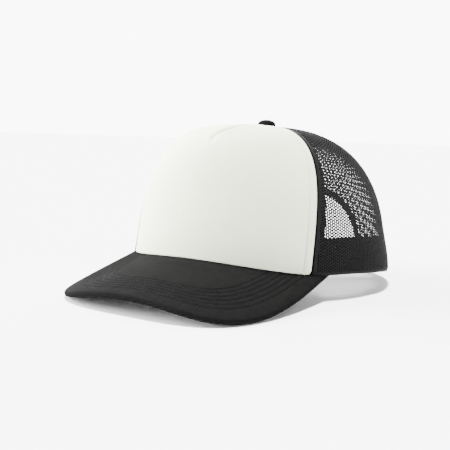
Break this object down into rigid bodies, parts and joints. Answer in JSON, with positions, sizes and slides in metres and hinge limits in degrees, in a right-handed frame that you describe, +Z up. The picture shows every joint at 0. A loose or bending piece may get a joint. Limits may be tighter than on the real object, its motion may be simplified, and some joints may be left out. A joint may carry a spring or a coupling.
{
  "type": "trucker mesh cap",
  "caption": "Trucker cap with a padded front panel, mesh sides and back, curved stitched visor, top button and a snap strap closure across the rear opening.",
  "frame": {"origin": "bottom centre of the cap's bounding box, on the surface it rests on", "axes": "+Z up, -Y to the front of the visor, +X to the wearer's left"},
  "size_m": [0.1912, 0.2554, 0.1167],
  "materials": {
    "front_fabric": "smooth brushed polyester knit",
    "foam": "open-cell foam",
    "mesh": "knitted nylon mesh",
    "cover_fabric": "matt woven twill",
    "tape_fabric": "plain woven tape",
    "sweatband_fabric": "soft terry-backed twill",
    "black_thread": "twisted polyester thread",
    "white_thread": "twisted polyester thread",
    "visor_board": "flexible board",
    "strap_plastic": "semi-matt moulded plastic",
    "button_fabric": "fabric stretched over a metal cap",
    "rivet_metal": "pressed, plain",
    "label_fabric": "woven satin, blank"
  },
  "bodies": {
    "cap": {"front_panel_face": "front_fabric", "front_panel_foam": "foam", "front_dart_tape": "tape_fabric", "front_topstitching": "white_thread", "inner_label": "label_fabric", "side_mesh_left": "mesh", "side_mesh_right": "mesh", "rear_mesh_left": "mesh", "rear_mesh_right": "mesh", "front_seam_tape_left": "tape_fabric", "front_seam_tape_right": "tape_fabric", "side_seam_tape_left": "tape_fabric", "side_seam_tape_right": "tape_fabric", "back_seam_tape": "tape_fabric", "rear_arch_binding": "tape_fabric", "sweatband": "sweatband_fabric", "visor_top_cover": "cover_fabric", "visor_board": "visor_board", "visor_under_cover": "cover_fabric", "visor_stitching": "black_thread", "outer_strap_tab": "strap_plastic", "inner_strap_tab": "strap_plastic", "button_shell": "button_fabric", "button_rivet": "rivet_metal"},
    "outer_strap_body": {"outer_strap": "strap_plastic"},
    "inner_strap_body": {"inner_strap": "strap_plastic"}
  },
  "joints": [
    {"name": "outer_strap_swing", "type": "hinge", "parent": "cap", "child": "outer_strap_body", "pos_m": [0.04873, 0.10846, 0.00915], "axis": [0.0143, -0.1384, -0.9903], "range_deg": [0, 60], "stiffness_Nm_per_rad": 0.02},
    {"name": "inner_strap_swing", "type": "hinge", "parent": "cap", "child": "inner_strap_body", "pos_m": [-0.04786, 0.10701, 0.00934], "axis": [-0.0157, -0.1392, -0.9901], "range_deg": [0, 35], "stiffness_Nm_per_rad": 0.02}
  ]
}
